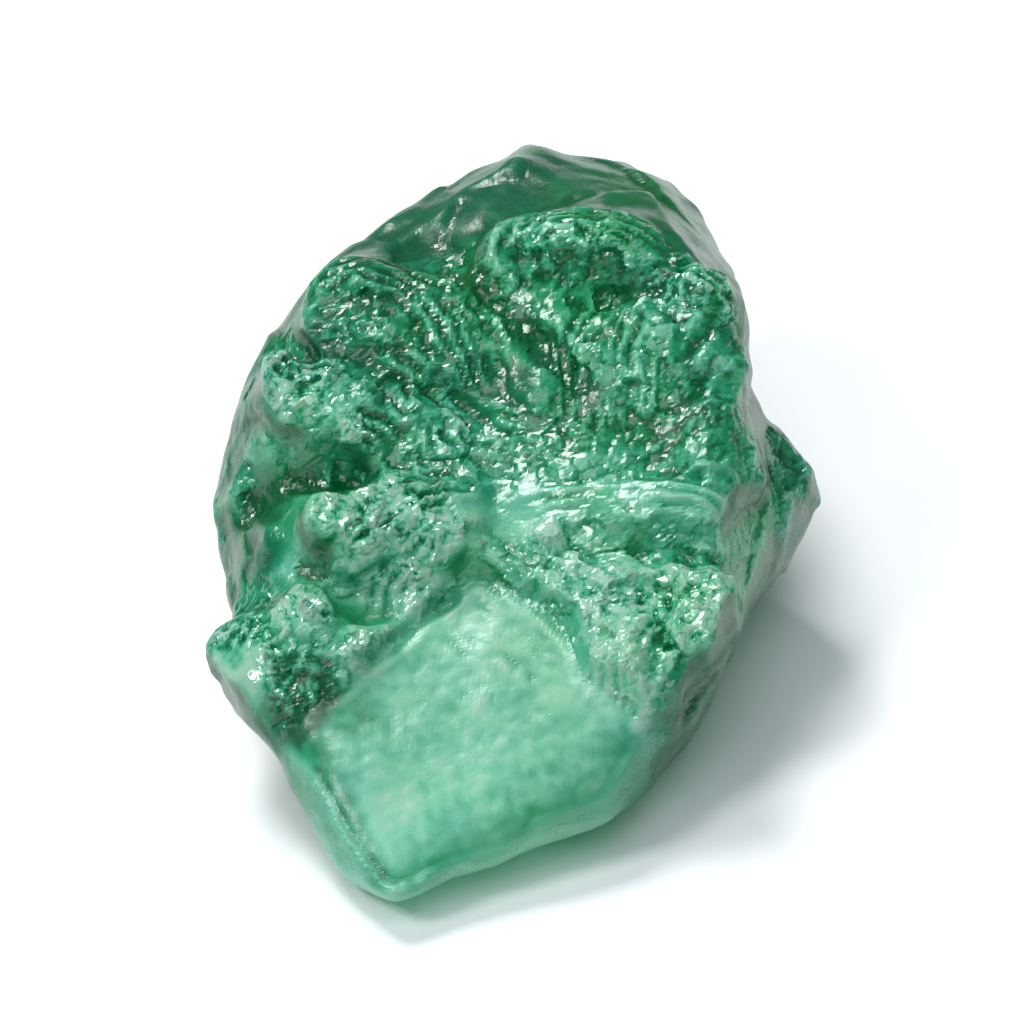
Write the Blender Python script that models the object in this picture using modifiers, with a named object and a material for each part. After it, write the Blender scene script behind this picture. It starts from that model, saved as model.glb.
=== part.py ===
"""Rough emerald: one natural fragment of green beryl, resting on its underside.

The stone is a chunky wedge. Its thin end is a clean cleavage face that runs down to a
pointed tip, its upper half is a crust of overlapping blocky lumps split by a groove, and
behind the crest it falls away in smooth broken faces. One solid, one object.

The form is made in passes. A block is cut by the stone's broken faces, and lumps are
grown onto it. The skin of the whole is broken into flat chips, patch by patch, and the
ledge, grooves and pits are cut into it. The finished skin is thinned out, and its
underside is cut flat.

Frame: metres, +Z up. The origin is under the middle of the bounding box, on the surface
that the stone rests on. The pointed tip looks along -Y, towards the viewer, and +X is to
the viewer's right.
"""

import math

import bmesh
import bpy
import numpy as np
from mathutils import Euler, Matrix, Vector, kdtree, noise

MM = 0.001
NAME = "rough_emerald"

# Driving dimensions, in millimetres: the uncut block, how far the cleavage face lies
# below the crust, how deep the stone gives way there, how steep a ledge is, where along X
# the ledge starts to die out and where it is lowest, what is left of it there, and what
# the resting face takes off the underside.
BLOCK_HEIGHT = 13.0
LEDGE_DROP = 0.65
LEDGE_REACH = 2.2
LEDGE_WIDTH = 0.35
LEDGE_FULL = -2.8
LEDGE_LOWEST = -5.4
LEDGE_LEFT = 0.3
BASE_TRIM = 0.12

# The skin is worked on at this grain.
SKIN_VOXEL = 0.18

# How far drawn lines wander from their course, in millimetres, and how tightly.
WANDER = 0.3
WANDER_SCALE = 0.7

# A lump's corners are broken off at these shares of its size from its middle.
CORNER_CUTS = (0.46, 0.50, 0.54) * 4

# Chips: breadth and greatest depth in millimetres, how far their faces turn at random,
# and how much of the way to a flat face they go. The thin end, which is a clean break,
# is spared this share of the large ones.
LARGE_CHIPS = {"size": 3.4, "depth": 0.5, "turn": 0.05, "share": 0.75, "seed": 2}
CLEAN_BREAK = 0.75
CRUST_CHIPS = {"size": 1.2, "depth": 0.45, "turn": 0.14, "share": 0.8, "seed": 5}

# Triangles that the finished solid keeps, about
TRIANGLES = 9400

# Seen from above: the rim, where the stone is widest. The tip is the first point.
RIM = [
    (-3.1, -17.9),
    (-4.5, -15.8),
    (-6.2, -12.7),
    (-7.5, -9.6),
    (-7.6, -5.1),
    (-6.7, -2.6),
    (-4.5, 0.0),
    (-1.0, 3.6),
    (2.7, 6.0),
    (4.4, 4.3),
    (5.7, 1.2),
    (6.2, -3.2),
    (6.5, -6.6),
    (5.6, -9.9),
    (4.1, -12.7),
    (2.8, -14.7),
    (-0.7, -16.5),
]

# Broken faces that cut the block: what it is, a point on it, the way it looks.
FACES = [
    ("front slope, which carries the crust", (0.0, -1.9, 10.0), (0.0, -0.435, 0.90)),
    ("left shoulder", (-6.7, -4.0, 7.3), (-0.72, -0.15, 0.66)),
    ("left flank below the crust", (-6.3, -8.2, 5.6), (-0.80, -0.30, 0.45)),
    ("right shoulder", (6.4, -3.5, 7.6), (0.80, -0.14, 0.60)),
    ("cleavage face at the thin end", (-0.5, -14.6, 4.1), (-0.08, -0.36, 0.93)),
    ("back slope, left", (-2.0, 2.0, 9.2), (-0.36, 0.40, 0.84)),
    ("back slope, right", (3.6, 1.4, 9.3), (0.36, 0.34, 0.86)),
    ("back wall", (1.0, 5.6, 5.0), (0.12, 0.96, 0.10)),
    ("back wall, left", (-4.6, 2.0, 5.0), (-0.72, 0.66, -0.12)),
    ("back wall, right", (5.4, 3.4, 5.0), (0.80, 0.60, 0.06)),
    ("keel under the tip", (-3.2, -18.3, 1.5), (-0.10, -0.46, -0.88)),
    ("keel, front", (2.6, -15.0, 1.6), (0.26, -0.45, -0.83)),
    ("keel, front right", (2.6, -15.0, 1.6), (0.40, -0.38, -0.83)),
    ("keel, right", (6.6, -6.0, 2.8), (0.72, 0.0, -0.70)),
    ("keel, left", (-7.1, -8.5, 3.0), (-0.74, -0.06, -0.67)),
    ("keel, back", (1.0, 4.6, 2.6), (0.05, 0.62, -0.78)),
]
_, SLOPE_POINT, SLOPE_NORMAL = FACES[0]
_, CLEAVAGE_POINT, CLEAVAGE_NORMAL = FACES[4]

# Lumps of the crust: what it is, its middle on the front slope seen from above, its
# breadth, length and thickness, its turn on the slope in degrees, how far it stands
# proud, seed.
CRUST = [
    ("upper left lobe", (-2.8, -3.5), (5.2, 3.2, 2.4), -20, 0.80, 7),
    ("its rim along the groove", (-0.9, -4.4), (5.0, 2.0, 2.0), -42, 0.75, 6),
    ("its rough lower half", (-3.9, -5.9), (5.4, 2.0, 2.0), -22, 0.60, 8),
    ("glinting edge, upper left", (-5.9, -5.3), (1.6, 2.4, 1.8), 14, 0.75, 9),
    ("rib by the groove head", (-0.2, -1.7), (1.4, 2.6, 1.6), -8, 0.85, 10),
    ("dome on the crest", (1.4, -1.8), (2.6, 2.7, 2.2), 12, 0.95, 11),
    ("low dome on the crest", (3.3, -1.6), (2.6, 2.4, 2.0), -20, 0.65, 12),
    ("saddle by the groove", (0.9, -3.5), (2.0, 1.8, 1.8), -30, 0.55, 18),
    ("corner knob, upper right", (4.9, -2.9), (2.6, 1.9, 2.2), -24, 1.05, 13),
    ("ribbed lobe", (2.7, -4.6), (3.3, 3.0, 2.0), 14, 0.70, 14),
    ("right edge lump", (5.3, -4.8), (2.1, 2.3, 2.0), 8, 0.55, 15),
    ("belt, right", (4.7, -6.9), (3.2, 1.9, 1.6), -8, 0.35, 16),
    ("belt, middle", (1.4, -6.9), (4.0, 1.5, 1.5), -14, 0.35, 17),
    ("left crust", (-2.9, -8.4), (4.2, 2.0, 1.6), 34, 0.75, 19),
    ("left crust, inner end", (-1.6, -9.1), (2.2, 1.7, 1.5), 30, 0.60, 20),
    ("knob over the pit", (-4.8, -8.7), (1.3, 1.4, 1.6), 10, 0.95, 23),
    ("lip under the pit", (-3.7, -11.9), (1.6, 1.1, 1.4), -10, 0.45, 24),
    ("lower left knob", (-5.2, -11.0), (1.6, 1.7, 1.6), 30, 0.80, 29),
    ("cross ridge", (3.2, -8.3), (5.6, 1.1, 1.5), -3, 0.55, 31),
    ("lobe beside the notch", (2.0, -10.0), (3.4, 1.7, 1.6), -34, 0.55, 37),
    ("pale lobe right of the face", (3.0, -11.9), (2.0, 2.4, 1.6), 8, 0.50, 39),
    ("right cluster", (4.9, -11.0), (2.0, 2.6, 1.9), -12, 0.75, 41),
]

# Bumps that stand out from the flanks: what it is, middle, size, turn in degrees, seed.
FLANK_BUMPS = [
    ("pale bump on the left", (-6.2, -11.3, 3.7), (2.5, 3.6, 2.4), (10, -20, 25), 3),
    ("glassy lobe on the right", (6.5, -4.5, 4.2), (2.9, 3.6, 3.6), (0, 25, -15), 5),
]

# Where the crust ends in a ledge over the cleavage face, seen from above.
LEDGE = [
    (-9.0, -12.9),
    (-5.6, -13.0),
    (-4.6, -12.6),
    (-3.7, -11.9),
    (-2.8, -11.0),
    (-2.0, -10.1),
    (-1.0, -9.2),
    (1.0, -10.3),
    (1.8, -11.1),
    (2.2, -12.3),
    (3.6, -13.1),
    (5.2, -12.2),
    (9.0, -11.5),
]

# The crest that the crust ends at behind, seen from above.
CREST = [
    (-9.0, -5.0),
    (-6.5, -3.0),
    (-4.7, -1.5),
    (-2.5, -0.9),
    (-0.5, -0.4),
    (1.2, 0.1),
    (3.3, -0.5),
    (5.8, -2.5),
    (9.0, -5.0),
]
CREST_WIDTH = 0.6

# Grooves and ridges of the front: what it is, its line from above, half width, height.
LINES = [
    ("main groove", [(-1.7, -2.0), (-0.5, -3.1), (0.6, -4.1), (2.1, -5.5)], 0.4, -0.55),
    ("groove behind the lobes", [(1.0, -2.9), (2.4, -2.6), (3.4, -3.1), (4.1, -3.7)], 0.4, -0.4),
    ("crease across the left lobe", [(-5.0, -4.4), (-3.6, -5.0), (-2.4, -5.6)], 0.35, -0.55),
    ("crease at the right edge", [(4.3, -5.6), (6.6, -5.6)], 0.35, -0.5),
    ("crease under the left lobe", [(-6.6, -6.8), (-3.8, -7.2), (-1.6, -7.4)], 0.5, -0.6),
    ("crease under the cross ridge", [(1.8, -9.4), (4.2, -9.5), (7.4, -10.0)], 0.45, -0.7),
    ("notch beside the cleavage face", [(-0.6, -9.0), (0.4, -9.6), (2.0, -10.9)], 0.3, -0.35),
    ("seam across the left crust", [(-4.9, -10.3), (-3.0, -9.9), (-1.2, -10.2)], 0.35, -0.4),
    ("seam left of the cluster", [(2.9, -10.7), (3.8, -11.2), (3.9, -12.5)], 0.4, -0.55),
    ("crest seam", [(-0.6, -0.2), (0.5, -2.8)], 0.3, -0.45),
    ("crest seam, right", [(2.5, -0.4), (2.6, -2.4)], 0.3, -0.25),
]

# Pits and hollows of the front: what it is, middle from above, half sizes, depth.
SMOOTH_PATCH = ("smooth patch", (-0.3, -5.4), (1.1, 0.7), 0.25)
PITS = [
    SMOOTH_PATCH,
    ("pit under the knob", (-5.0, -9.7), (0.5, 0.55), 0.5),
    ("pit in the left crust", (-3.4, -10.6), (1.1, 0.55), 0.45),
    ("lower pit", (-4.1, -13.1), (0.7, 0.5), 0.25),
    ("green notch on the left", (-5.4, -12.8), (0.8, 0.7), 0.3),
]


def cut(bm, point, normal):
    """Takes off what lies outside the plane, and closes the cut with one flat face."""
    parts = bm.verts[:] + bm.edges[:] + bm.faces[:]
    done = bmesh.ops.bisect_plane(
        bm,
        geom=parts,
        dist=1e-5,
        plane_co=Vector(point),
        plane_no=Vector(normal).normalized(),
        clear_outer=True,
    )
    rim = [e for e in done["geom_cut"] if isinstance(e, bmesh.types.BMEdge)]
    if rim:
        bmesh.ops.edgeloop_fill(bm, edges=rim)


def broken_block():
    """The stone's main body: the rim drawn upright, then cut by its broken faces."""
    curve = bpy.data.curves.new("rim", "CURVE")
    curve.dimensions = "2D"
    curve.fill_mode = "BOTH"
    curve.extrude = BLOCK_HEIGHT / 2
    line = curve.splines.new("POLY")
    line.points.add(len(RIM) - 1)
    for point, (x, y) in zip(line.points, RIM):
        point.co = (x, y, 0, 1)
    line.use_cyclic_u = True
    outline = bpy.data.objects.new("rim", curve)
    outline.location.z = BLOCK_HEIGHT / 2
    bpy.context.scene.collection.objects.link(outline)
    bpy.context.view_layer.update()
    graph = bpy.context.evaluated_depsgraph_get()
    mesh = bpy.data.meshes.new_from_object(outline.evaluated_get(graph))
    bm = bmesh.new()
    bm.from_mesh(mesh)
    bm.transform(outline.matrix_world)
    bpy.data.objects.remove(outline)
    bpy.data.meshes.remove(mesh)
    bmesh.ops.remove_doubles(bm, verts=bm.verts[:], dist=1e-4)
    for _, point, normal in FACES:
        cut(bm, point, normal)
    return bm


def lump(size, seed):
    """A blocky lump about the origin: a box with its corners broken off."""
    noise.seed_set(seed)
    bm = bmesh.new()
    bmesh.ops.create_cube(bm, size=1.0)
    for share in CORNER_CUTS:
        way = noise.random_unit_vector(size=3)
        cut(bm, way * share, way)
    bmesh.ops.scale(bm, vec=size, verts=bm.verts[:])
    return bm


def on_slope(middle, turn, depth):
    """The place of a lump on the front slope, sunk in by this depth."""
    start = Vector(SLOPE_POINT)
    out = Vector(SLOPE_NORMAL).normalized()
    drop = (middle[0] - start.x) * out.x + (middle[1] - start.y) * out.y
    seat = Vector((middle[0], middle[1], start.z - drop / out.z))
    lie = Vector((0, 0, 1)).rotation_difference(out).to_matrix()
    spin = Matrix.Rotation(math.radians(turn), 3, "Z")
    return Matrix.Translation(seat - out * depth) @ (lie @ spin).to_4x4()


def merge_into(whole, bm, place):
    """Adds a lump to the block where it belongs."""
    bm.transform(place)
    mesh = bpy.data.meshes.new("lump")
    bm.to_mesh(mesh)
    bm.free()
    whole.from_mesh(mesh)
    bpy.data.meshes.remove(mesh)


def remeshed(bm):
    """One closed skin around everything in the bmesh, made of even quads."""
    mesh = bpy.data.meshes.new("merged")
    bm.to_mesh(mesh)
    bm.free()
    obj = bpy.data.objects.new("merged", mesh)
    bpy.context.scene.collection.objects.link(obj)
    merge = obj.modifiers.new("merge", "REMESH")
    merge.mode = "VOXEL"
    merge.voxel_size = SKIN_VOXEL
    ease = obj.modifiers.new("ease", "SMOOTH")
    ease.factor = 0.5
    ease.iterations = 3
    bpy.context.view_layer.update()
    graph = bpy.context.evaluated_depsgraph_get()
    skin = bpy.data.meshes.new_from_object(obj.evaluated_get(graph))
    bpy.data.objects.remove(obj)
    bpy.data.meshes.remove(mesh)
    return skin


def smooth_step(value):
    """0 below 0, 1 above 1, and an even rise between."""
    t = np.clip(value, 0.0, 1.0)
    return t * t * (3.0 - 2.0 * t)


def line_distance(xy, line):
    """How far each point is from a line of straight pieces, seen from above."""
    nearest = np.full(len(xy), 1e9)
    for start, end in zip(line[:-1], line[1:]):
        a = np.array(start)
        along = np.array(end) - a
        t = np.clip((xy - a) @ along / (along @ along), 0.0, 1.0)
        away = np.linalg.norm(xy - a - t[:, None] * along, axis=1)
        nearest = np.minimum(nearest, away)
    return nearest


def oval_distance(xy, middle, half_sizes):
    """Distance from an oval's middle, 1 on its outline, seen from above."""
    return np.linalg.norm((xy - np.array(middle)) / np.array(half_sizes), axis=1)


def in_front_of(xy, line):
    """Distance past a line that crosses the stone, positive on the tip's side of it."""
    xs, ys = np.array(line).T
    side = np.where(xy[:, 1] < np.interp(xy[:, 0], xs, ys), 1.0, -1.0)
    return side * line_distance(xy, line)


def wandered(points):
    """The points seen from above, nudged so that drawn lines wander as cracks do."""
    nudge = np.array([noise.noise_vector(Vector(p) * WANDER_SCALE) for p in points])
    return points[:, :2] + WANDER * nudge[:, :2]


def thin_end(points):
    """1 past the ledge, on the thin end and its cleavage face, 0 on the rest."""
    return smooth_step(in_front_of(wandered(points), LEDGE) / LEDGE_WIDTH)


def ledge_drop(points):
    """Lets the thin end down behind the ledge, rim included, and cuts off what stands proud.

    The ledge dies out towards the left, where the crust runs on into the thin end.
    """
    out = np.array(SLOPE_NORMAL) / np.linalg.norm(SLOPE_NORMAL)
    depth = (np.array(SLOPE_POINT) - points) @ out
    over = (points - np.array(CLEAVAGE_POINT)) @ np.array(CLEAVAGE_NORMAL)
    upper = smooth_step((LEDGE_REACH - depth) / LEDGE_REACH)
    proud = np.maximum(np.minimum(-depth, over), 0.0)
    along = (points[:, 0] - LEDGE_LOWEST) / (LEDGE_FULL - LEDGE_LOWEST)
    drop = LEDGE_DROP * (LEDGE_LEFT + (1.0 - LEDGE_LEFT) * smooth_step(along))
    past = thin_end(points)
    return points - out * ((drop * upper + proud) * past)[:, None]


def forms(points, normals):
    """How far each skin point moves out for the grooves, ridges and pits, in millimetres."""
    xy = wandered(points)
    front = front_share(normals)
    move = np.zeros(len(points))
    for _, line, half_width, height in LINES:
        near = 1.0 - line_distance(xy, line) / half_width
        move += height * front * np.clip(near, 0.0, 1.0)
    for _, middle, half_sizes, depth in PITS:
        out = oval_distance(xy, middle, half_sizes)
        move -= depth * front * np.sqrt(np.clip(1.0 - out * out, 0.0, 1.0))
    return move


def front_share(normals):
    """1 where the skin looks the way the front slope does, 0 on the flanks and back."""
    forward = normals @ np.array(SLOPE_NORMAL)
    return smooth_step((forward - 0.35) / 0.4)


def crust_share(points, normals):
    """1 on the crust, 0 on the cleavage face, the smooth patch, the flanks and behind."""
    xy = wandered(points)
    _, middle, half_sizes, _ = SMOOTH_PATCH
    off_patch = smooth_step(oval_distance(xy, middle, half_sizes) - 1.0)
    before_crest = smooth_step(in_front_of(xy, CREST) / CREST_WIDTH)
    return front_share(normals) * (1.0 - thin_end(points)) * before_crest * off_patch


def broken_share(normals):
    """1 on the stone's sides and top, 0 on the underside, which stays flat."""
    return 1.0 - smooth_step((-normals[:, 2] - 0.85) / 0.1)


def nearest_of(points, chosen):
    """The number of the chosen point that is nearest to each point."""
    tree = kdtree.KDTree(len(chosen))
    for i, place in enumerate(chosen):
        tree.insert(Vector(place), i)
    tree.balance()
    return np.array([tree.find(Vector(place))[1] for place in points])


def chipped(points, normals, share, chips):
    """Flattens patches of the skin, each to a slightly turned face of its own."""
    random = np.random.default_rng(chips["seed"])
    mixed = random.permutation(len(points))
    cubes = np.floor(points[mixed] / chips["size"])
    _, first = np.unique(cubes, axis=0, return_index=True)
    owner = nearest_of(points, points[mixed[first]])
    count = len(first)
    members = np.maximum(np.bincount(owner, minlength=count), 1)[:, None]
    middle = np.zeros((count, 3))
    facing = np.zeros((count, 3))
    np.add.at(middle, owner, points)
    np.add.at(facing, owner, normals)
    middle /= members
    facing /= np.linalg.norm(facing, axis=1)[:, None] + 1e-9
    facing += random.normal(0.0, chips["turn"], (count, 3))
    facing /= np.linalg.norm(facing, axis=1)[:, None]
    off = np.sum((points - middle[owner]) * facing[owner], axis=1)
    agree = np.sum(normals * facing[owner], axis=1)
    move = np.clip(-off, -chips["depth"], chips["depth"]) * share
    move *= smooth_step((agree - 0.35) / 0.35)
    return points + facing[owner] * move[:, None]


def skin_points(skin):
    """The skin's points and the way it looks at each of them."""
    count = len(skin.vertices)
    points = np.empty(count * 3)
    skin.vertices.foreach_get("co", points)
    normals = np.array([v.normal for v in skin.vertices])
    return points.reshape(count, 3), normals


def put_points(skin, points):
    """Moves the skin's points."""
    skin.vertices.foreach_set("co", points.ravel())
    skin.update()


def worked(skin):
    """Breaks the skin into chips, large ones first, and then cuts in the named forms."""
    points, normals = skin_points(skin)
    clean = CLEAN_BREAK * thin_end(points)
    share = LARGE_CHIPS["share"] * broken_share(normals) * (1.0 - clean)
    put_points(skin, chipped(points, normals, share, LARGE_CHIPS))
    points, normals = skin_points(skin)
    share = CRUST_CHIPS["share"] * crust_share(points, normals)
    put_points(skin, chipped(points, normals, share, CRUST_CHIPS))
    points, _ = skin_points(skin)
    put_points(skin, ledge_drop(points))
    points, normals = skin_points(skin)
    put_points(skin, points + normals * forms(points, normals)[:, None])


def thinned(skin):
    """Fewer, larger triangles where the skin is flat, at real size."""
    skin.transform(Matrix.Scale(MM, 4))
    obj = bpy.data.objects.new("thin", skin)
    bpy.context.scene.collection.objects.link(obj)
    fewer = obj.modifiers.new("fewer", "DECIMATE")
    fewer.ratio = TRIANGLES / (2 * len(skin.polygons))
    fewer.use_collapse_triangulate = True
    bpy.context.view_layer.update()
    graph = bpy.context.evaluated_depsgraph_get()
    mesh = bpy.data.meshes.new_from_object(obj.evaluated_get(graph))
    bpy.data.objects.remove(obj)
    return mesh


def flat_underneath(mesh):
    """The mesh with its underside cut flat and closed."""
    low = min(v.co.z for v in mesh.vertices)
    half = 30 * MM
    bm = bmesh.new()
    bmesh.ops.create_cube(bm, size=2 * half)
    bmesh.ops.translate(bm, vec=(0, 0, low + BASE_TRIM * MM - half), verts=bm.verts[:])
    under = bpy.data.meshes.new("under")
    bm.to_mesh(under)
    bm.free()
    ground = bpy.data.objects.new("under", under)
    stone = bpy.data.objects.new("stone", mesh)
    bpy.context.scene.collection.objects.link(ground)
    bpy.context.scene.collection.objects.link(stone)
    trim = stone.modifiers.new("trim", "BOOLEAN")
    trim.operation = "DIFFERENCE"
    trim.solver = "EXACT"
    trim.object = ground
    bpy.context.view_layer.update()
    graph = bpy.context.evaluated_depsgraph_get()
    flat = bpy.data.meshes.new_from_object(stone.evaluated_get(graph))
    bpy.data.objects.remove(stone)
    bpy.data.objects.remove(ground)
    return flat


def centred(mesh):
    """Puts the origin under the middle of the stone, on its resting face."""
    bm = bmesh.new()
    bm.from_mesh(mesh)
    bmesh.ops.triangulate(bm, faces=bm.faces[:])
    spans = []
    for axis in range(3):
        values = [v.co[axis] for v in bm.verts]
        spans.append((min(values), max(values)))
    (west, east), (south, north), (floor, _) = spans
    to_origin = -Vector(((west + east) / 2, (south + north) / 2, floor))
    bmesh.ops.translate(bm, vec=to_origin, verts=bm.verts[:])
    bm.to_mesh(mesh)
    bm.free()


def green_beryl():
    """Plain see-through green, for the solid as it is handed in."""
    look = bpy.data.materials.new("green beryl")
    look.use_nodes = True
    shader = look.node_tree.nodes["Principled BSDF"]
    shader.inputs["Base Color"].default_value = (0.10, 0.42, 0.24, 1.0)
    shader.inputs["Roughness"].default_value = 0.3
    shader.inputs["IOR"].default_value = 1.58
    shader.inputs["Transmission Weight"].default_value = 0.6
    return look


def grown_block():
    """The cut block with its lumps set on it, not yet merged."""
    whole = broken_block()
    for _, middle, size, turn, proud, seed in CRUST:
        place = on_slope(middle, turn, size[2] / 2 - proud)
        merge_into(whole, lump(size, seed), place)
    for _, centre, size, turn, seed in FLANK_BUMPS:
        tilt = Euler([math.radians(a) for a in turn]).to_matrix().to_4x4()
        merge_into(whole, lump(size, seed), Matrix.Translation(centre) @ tilt)
    return whole


def main():
    for old in list(bpy.data.objects):
        bpy.data.objects.remove(old)
    skin = remeshed(grown_block())
    worked(skin)
    bm = bmesh.new()
    bm.from_mesh(skin)
    mesh = flat_underneath(thinned(remeshed(bm)))
    centred(mesh)
    mesh.materials.append(green_beryl())
    home = bpy.data.collections.new("rough emerald")
    bpy.context.scene.collection.children.link(home)
    home.objects.link(bpy.data.objects.new(NAME, mesh))


main()
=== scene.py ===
"""Looks of the rough emerald: one clear green fragment on a pale floor.

The solid gives the stone's place and form. A finer skin of the same form stands for it here.
That skin takes the small relief: striations on the lobes, chips and crinkles on the crust,
frosting on the cleavage face, broad chips and ripples behind. It also carries how pale, how
frosted and how crisply broken each place is. The paleness is milkiness in part and painted
light in part: painted highlights and glints on ridges, bulges and glittering knobs, painted
shade in hollows, pits, creases and on the shaded left edge, and a painted glow at the thin
end. The beryl itself is clear green with plain absorption.

Places and sizes are in millimetres in the stone's own frame, where no comment gives another
unit. The origin is under its middle, the tip looks along -Y and +X is to the viewer's right.
"""

import math

import bmesh
import bpy
import numpy as np
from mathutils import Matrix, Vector, kdtree, noise

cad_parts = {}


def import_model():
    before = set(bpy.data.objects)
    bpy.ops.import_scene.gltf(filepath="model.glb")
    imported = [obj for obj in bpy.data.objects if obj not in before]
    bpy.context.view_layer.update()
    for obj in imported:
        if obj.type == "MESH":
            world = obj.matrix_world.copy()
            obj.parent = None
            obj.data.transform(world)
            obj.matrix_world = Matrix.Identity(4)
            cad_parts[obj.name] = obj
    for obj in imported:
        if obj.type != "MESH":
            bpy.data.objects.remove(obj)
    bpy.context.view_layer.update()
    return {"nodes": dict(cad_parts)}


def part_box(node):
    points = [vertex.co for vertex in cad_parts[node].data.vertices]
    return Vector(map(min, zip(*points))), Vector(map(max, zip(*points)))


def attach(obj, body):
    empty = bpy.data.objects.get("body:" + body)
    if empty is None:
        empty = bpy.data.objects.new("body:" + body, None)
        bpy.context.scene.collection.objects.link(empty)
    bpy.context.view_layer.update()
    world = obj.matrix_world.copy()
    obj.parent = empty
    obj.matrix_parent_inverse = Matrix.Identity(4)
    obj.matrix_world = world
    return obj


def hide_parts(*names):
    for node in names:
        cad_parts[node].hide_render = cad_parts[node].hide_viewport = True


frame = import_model()

MM = 0.001
NODE = "rough_emerald"

# The fine skin's grain. Points of the solid that are nearer than the weld, in metres, are
# joined first.
SKIN_GRAIN = 0.11
WELD = 1e-7

# The way the crust's slope looks. The skin starts to count as front at the cosine
# FRONT_START to it, and counts fully at FRONT_RISE more.
SLOPE_NORMAL = (0.0, -0.435, 0.90)
FRONT_START = 0.25
FRONT_RISE = 0.4

# The points this near the lowest one make the underside.
UNDERSIDE_LAYER = 0.02

# Rounds of easing for each place's points. A round takes a point halfway to the middle of
# its neighbours.
WHOLE_EASING = 2
THIN_END_EASING = 12
BEVEL_EDGE_EASING = 16
FACE_EASING = 120
BACK_EASING = 4

# Rounds of easing for the shares that say where a place is.
UNDERSIDE_SPREAD = 3
FRONT_SPREAD = 5
FACE_SPREAD = 40

# The eased share of the cleavage face that its even middle starts at, and the rise from
# there.
FACE_MIDDLE_START = 0.6
FACE_MIDDLE_RISE = 0.3

# Width of the soft edge of the ovals below, as a share of their size: for relief and for
# tones.
RELIEF_EDGE = 0.5
TONE_EDGE = 0.6

# Where the crust ends in a ledge over the cleavage face, seen from above, and how wide its
# edge is.
LEDGE = [
    (-9.1, -7.0),
    (-5.7, -7.1),
    (-4.7, -6.7),
    (-3.8, -6.0),
    (-2.9, -5.1),
    (-2.1, -4.2),
    (-1.1, -3.3),
    (0.9, -4.4),
    (1.7, -5.2),
    (2.1, -6.4),
    (3.5, -7.2),
    (5.1, -6.3),
    (8.9, -5.6),
]
LEDGE_WIDTH = 0.35

# The crest that the crust ends at behind, seen from above, and how wide its edge is.
CREST = [
    (-9.1, 0.9),
    (-6.6, 2.9),
    (-4.8, 4.4),
    (-2.6, 5.0),
    (-0.6, 5.5),
    (1.1, 6.0),
    (3.2, 5.4),
    (5.7, 3.4),
    (8.9, 0.9),
]
CREST_WIDTH = 0.6

# Chips of the crust, small ones on top of them, and those of the flanks and the back:
# breadth, greatest depth, random turn of their faces, how much of the way to a flat face they
# go, seed.
CRUST_CHIPS = {"size": 0.85, "depth": 0.2, "turn": 0.16, "share": 0.75, "seed": 11}
SMALL_CHIPS = {"size": 0.42, "depth": 0.12, "turn": 0.28, "share": 0.35, "seed": 12}
BACK_CHIPS = {"size": 2.6, "depth": 0.22, "turn": 0.09, "share": 0.55, "seed": 13}

# A point goes with its chip where their faces agree: from the cosine CHIP_START on, and
# fully at CHIP_RISE more.
CHIP_START = 0.35
CHIP_RISE = 0.35

# Places that broke smoothly, with few chips: what it is, middle and half sizes from above,
# turn in degrees. They lose the share SMOOTHNESS of their roughness.
SMOOTH_PLACES = [
    ("smooth patch", (-0.35, 0.6), (1.3, 0.9), -15),
    ("dark head of the upper left lobe", (-3.2, 3.3), (1.5, 0.6), -20),
    ("dark smooth left", (-6.0, -1.8), (1.2, 1.4), 0),
    ("middle of the front", (0.2, -2.5), (1.5, 0.8), 0),
    ("cross ridge", (3.1, -2.4), (2.4, 0.5), -3),
    ("pit in the left crust", (-3.5, -4.7), (1.1, 0.6), 0),
    ("foot of the pale bump", (-7.2, -6.7), (0.9, 1.4), 10),
]
SMOOTHNESS = 0.85

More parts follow.
